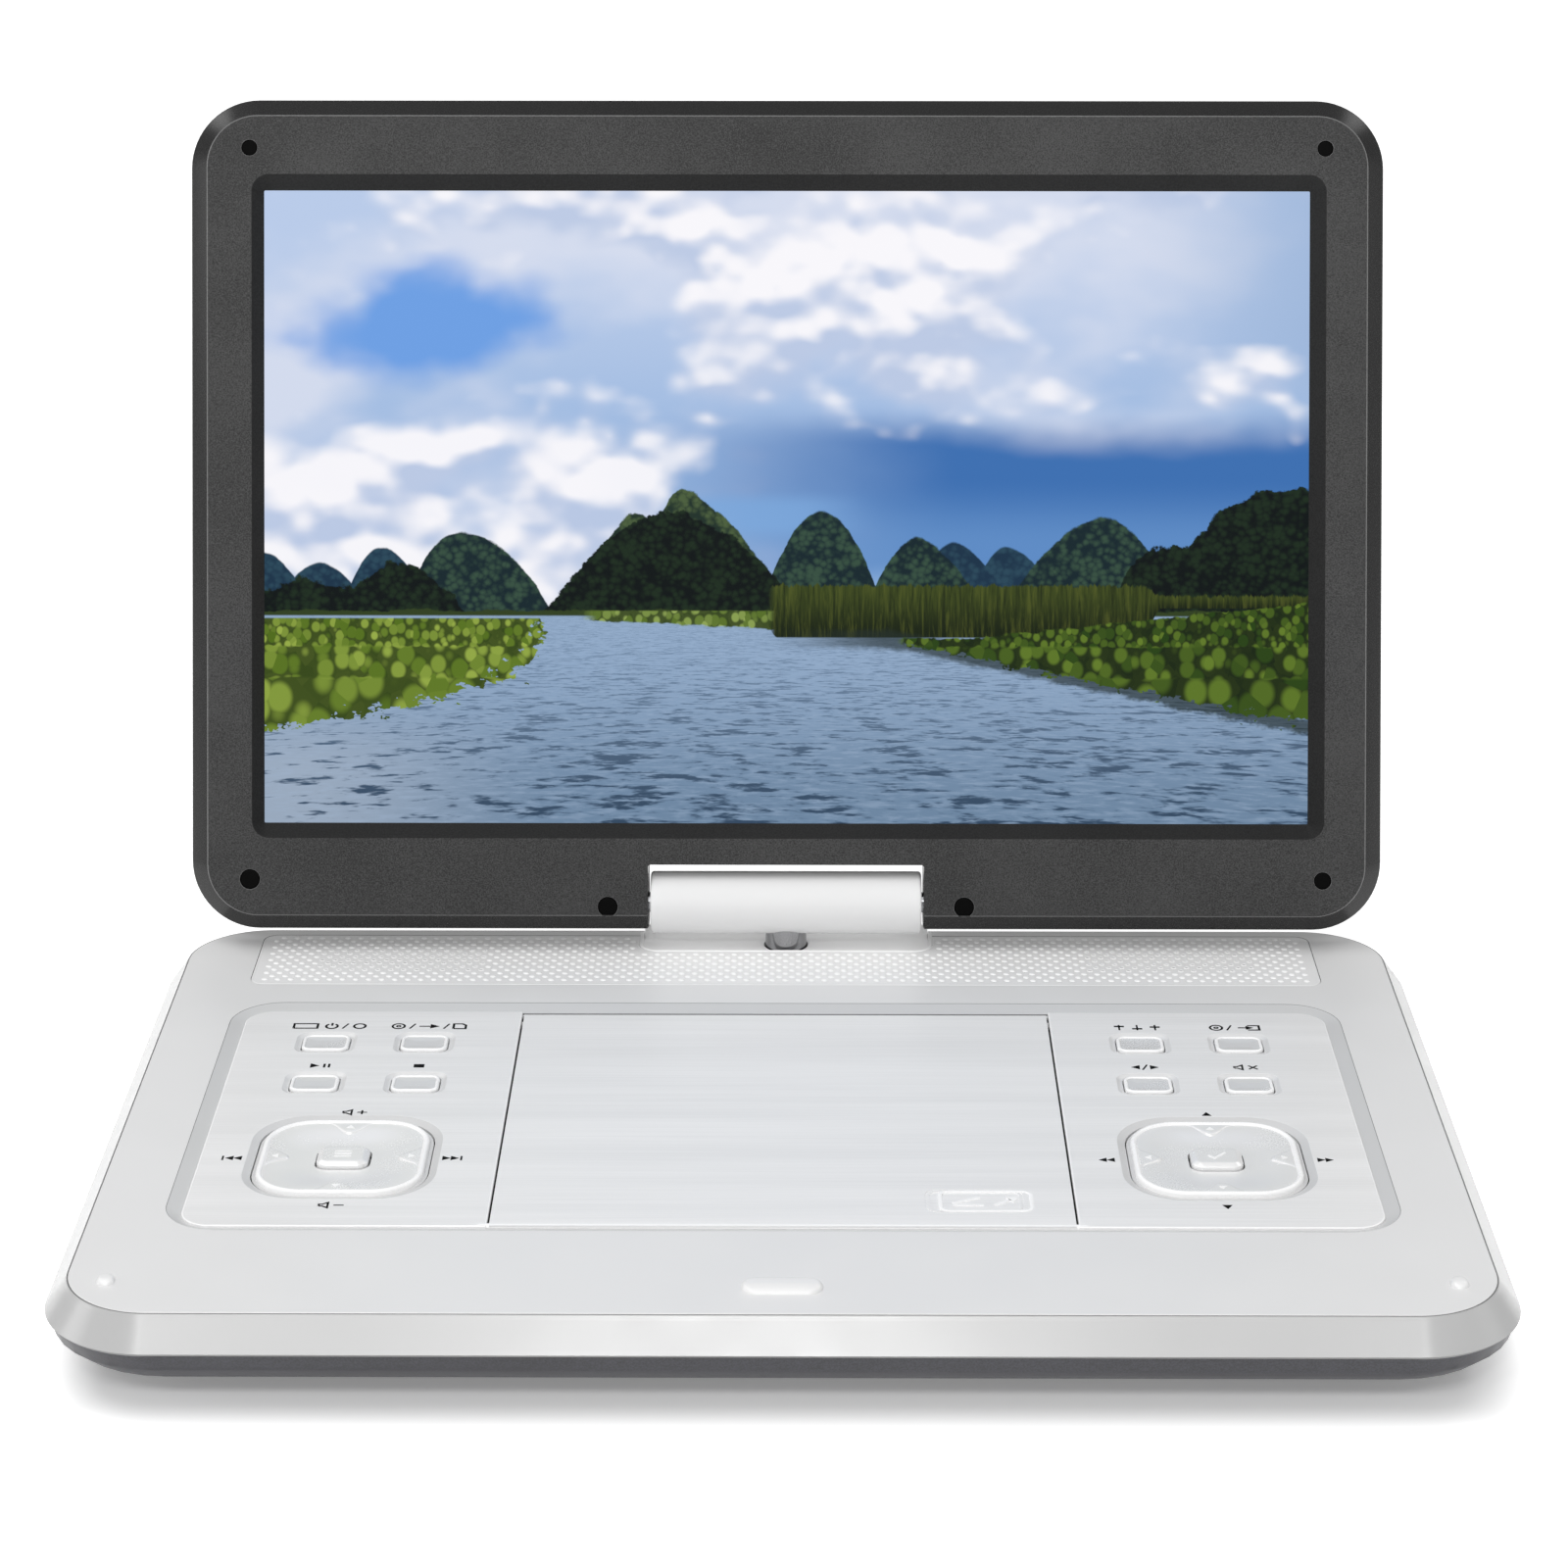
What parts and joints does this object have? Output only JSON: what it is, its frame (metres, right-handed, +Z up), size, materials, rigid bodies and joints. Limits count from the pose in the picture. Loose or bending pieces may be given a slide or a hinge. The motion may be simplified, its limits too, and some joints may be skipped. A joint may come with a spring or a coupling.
{
  "type": "portable disc player",
  "caption": "Flat disc player base with a lift-up disc door, keys and pads, and a wide screen that folds down over it and swivels on a chrome shaft.",
  "frame": {"origin": "middle of the open player's bounding box in X and Y, on the plane that the feet stand on", "axes": "+X to the user's right, +Y from the user towards the back, +Z up"},
  "size_m": [0.36, 0.3216, 0.2621],
  "materials": {
    "silver_plastic": "satin silver-white paint",
    "dark_plastic": "fine textured",
    "brushed_panel": "finely brushed, silver",
    "white_gloss": "glossy white",
    "key_plastic": "satin, light",
    "bezel_plastic": "fine grain, charcoal",
    "inner_plastic": "moulded",
    "chrome_shaft": "polished",
    "steel": "rolled and plated",
    "rubber_black": "matt",
    "rubber_grey": "matt silicone",
    "board_green": "solder mask",
    "battery_wrap": "shrink film",
    "lcd_dark": "dark display glass",
    "lens_glass": "coated",
    "cable_red": "insulation",
    "switch_metal": "stamped"
  },
  "bodies": {
    "base": {"bottom_case": "dark_plastic", "top_case": "silver_plastic", "rubber_feet": "rubber_black", "base_screws": "steel", "control_panel_left": "brushed_panel", "control_panel_right": "brushed_panel", "speaker_grille": "silver_plastic", "speakers": "inner_plastic", "disc_tray": "inner_plastic", "latch_spring": "steel", "loader_chassis": "steel", "loader_dampers": "rubber_black", "spindle_motor": "steel", "guide_rods": "steel", "sled_motor": "steel", "keypad_boards": "board_green", "tact_switches": "switch_metal", "main_board": "board_green", "battery_pack": "battery_wrap", "audio_jacks": "inner_plastic", "usb_port": "steel", "card_slot": "steel", "dc_inlet": "inner_plastic", "power_switch": "inner_plastic", "swivel_bracket": "steel"},
    "door": {"disc_door": "brushed_panel"},
    "latch": {"door_latch": "inner_plastic"},
    "rotor": {"turntable": "inner_plastic"},
    "sled": {"pickup_sled": "inner_plastic", "pickup_lens": "lens_glass"},
    "screw": {"lead_screw": "steel"},
    "key_display": {"button_display": "key_plastic"},
    "key_source": {"button_source": "key_plastic"},
    "key_play": {"button_play": "key_plastic"},
    "key_stop": {"button_stop": "key_plastic"},
    "key_setup": {"button_setup": "key_plastic"},
    "key_mode": {"button_mode": "key_plastic"},
    "key_audio": {"button_audio": "key_plastic"},
    "key_mute": {"button_mute": "key_plastic"},
    "key_menu": {"button_menu": "key_plastic"},
    "key_ok": {"button_ok": "key_plastic"},
    "boot_left": {"pad_boot_left": "rubber_grey"},
    "pad_left": {"pad_left": "key_plastic"},
    "boot_right": {"pad_boot_right": "rubber_grey"},
    "pad_right": {"pad_right": "key_plastic"},
    "knob": {"power_knob": "key_plastic"},
    "dial": {"volume_dial": "key_plastic"},
    "swivel": {"swivel_shaft": "chrome_shaft", "swivel_nut": "steel", "hinge_cover_front": "white_gloss", "hinge_cover_rear": "white_gloss", "hinge_yoke": "steel", "hinge_cable": "cable_red"},
    "screen": {"tilt_hinges": "steel", "screen_bezel": "bezel_plastic", "screen_back_cover": "bezel_plastic", "lcd_module": "lcd_dark", "display_board": "board_green", "screen_screws": "steel", "screw_caps": "rubber_black"}
  },
  "joints": [
    {"name": "screen_swivel", "type": "hinge", "parent": "base", "child": "swivel", "pos_m": [0, 0.079, 0.027], "axis": [0, 0, 1], "range_deg": [-90, 180]},
    {"name": "screen_tilt", "type": "hinge", "parent": "swivel", "child": "screen", "pos_m": [0, 0.079, 0.0394], "axis": [1, 0, 0], "range_deg": [-71, 109.6]},
    {"name": "door_hinge", "type": "hinge", "parent": "base", "child": "door", "pos_m": [0, 0.023, 0.0242], "axis": [-1, 0, 0], "range_deg": [0, 60]},
    {"name": "door_catch", "type": "slide", "parent": "base", "child": "latch", "axis": [0, -1, 0], "range_m": [0, 0.001], "stiffness_N_per_m": 600},
    {"name": "spindle_spin", "type": "hinge", "parent": "base", "child": "rotor", "pos_m": [0, -0.041, 0.02], "axis": [0, 0, 1], "continuous": true},
    {"name": "sled_slide", "type": "slide", "parent": "base", "child": "sled", "axis": [1, 0, 0], "range_m": [0, 0.034]},
    {"name": "screw_spin", "type": "hinge", "parent": "base", "child": "screw", "pos_m": [0.043, -0.066, 0.0152], "axis": [1, 0, 0], "range_deg": [0, 4081]},
    {"name": "press_display", "type": "slide", "parent": "base", "child": "key_display", "axis": [0, 0, -1], "range_m": [0, 0.0006], "stiffness_N_per_m": 3000},
    {"name": "press_source", "type": "slide", "parent": "base", "child": "key_source", "axis": [0, 0, -1], "range_m": [0, 0.0006], "stiffness_N_per_m": 3000},
    {"name": "press_play", "type": "slide", "parent": "base", "child": "key_play", "axis": [0, 0, -1], "range_m": [0, 0.0006], "stiffness_N_per_m": 3000},
    {"name": "press_stop", "type": "slide", "parent": "base", "child": "key_stop", "axis": [0, 0, -1], "range_m": [0, 0.0006], "stiffness_N_per_m": 3000},
    {"name": "press_setup", "type": "slide", "parent": "base", "child": "key_setup", "axis": [0, 0, -1], "range_m": [0, 0.0006], "stiffness_N_per_m": 3000},
    {"name": "press_mode", "type": "slide", "parent": "base", "child": "key_mode", "axis": [0, 0, -1], "range_m": [0, 0.0006], "stiffness_N_per_m": 3000},
    {"name": "press_audio", "type": "slide", "parent": "base", "child": "key_audio", "axis": [0, 0, -1], "range_m": [0, 0.0006], "stiffness_N_per_m": 3000},
    {"name": "press_mute", "type": "slide", "parent": "base", "child": "key_mute", "axis": [0, 0, -1], "range_m": [0, 0.0006], "stiffness_N_per_m": 3000},
    {"name": "press_menu", "type": "slide", "parent": "base", "child": "key_menu", "axis": [0, 0, -1], "range_m": [0, 0.0006], "stiffness_N_per_m": 3000},
    {"name": "press_ok", "type": "slide", "parent": "base", "child": "key_ok", "axis": [0, 0, -1], "range_m": [0, 0.0006], "stiffness_N_per_m": 3000},
    {"name": "pad_left_up_down", "type": "hinge", "parent": "base", "child": "boot_left", "pos_m": [-0.1143, -0.0676, 0.022], "axis": [1, 0, 0], "range_deg": [-2.5, 2.5], "stiffness_Nm_per_rad": 0.7},
    {"name": "pad_left_left_right", "type": "hinge", "parent": "boot_left", "child": "pad_left", "pos_m": [-0.1143, -0.0676, 0.022], "axis": [0, 1, 0], "range_deg": [-2.5, 2.5], "stiffness_Nm_per_rad": 0.7},
    {"name": "pad_right_up_down", "type": "hinge", "parent": "base", "child": "boot_right", "pos_m": [0.1123, -0.0676, 0.022], "axis": [1, 0, 0], "range_deg": [-2.5, 2.5], "stiffness_Nm_per_rad": 0.7},
    {"name": "pad_right_left_right", "type": "hinge", "parent": "boot_right", "child": "pad_right", "pos_m": [0.1123, -0.0676, 0.022], "axis": [0, 1, 0], "range_deg": [-2.5, 2.5], "stiffness_Nm_per_rad": 0.7},
    {"name": "power_slide", "type": "slide", "parent": "base", "child": "knob", "axis": [0, 1, 0], "range_m": [0, 0.004]},
    {"name": "volume_turn", "type": "hinge", "parent": "base", "child": "dial", "pos_m": [0.163, 0.008, 0.0123], "axis": [0, 0, 1], "range_deg": [-150, 150]}
  ],
  "couplings": [
    {"joint": "screw_spin", "follows": "sled_slide", "rad_per_m": 2094.4}
  ]
}
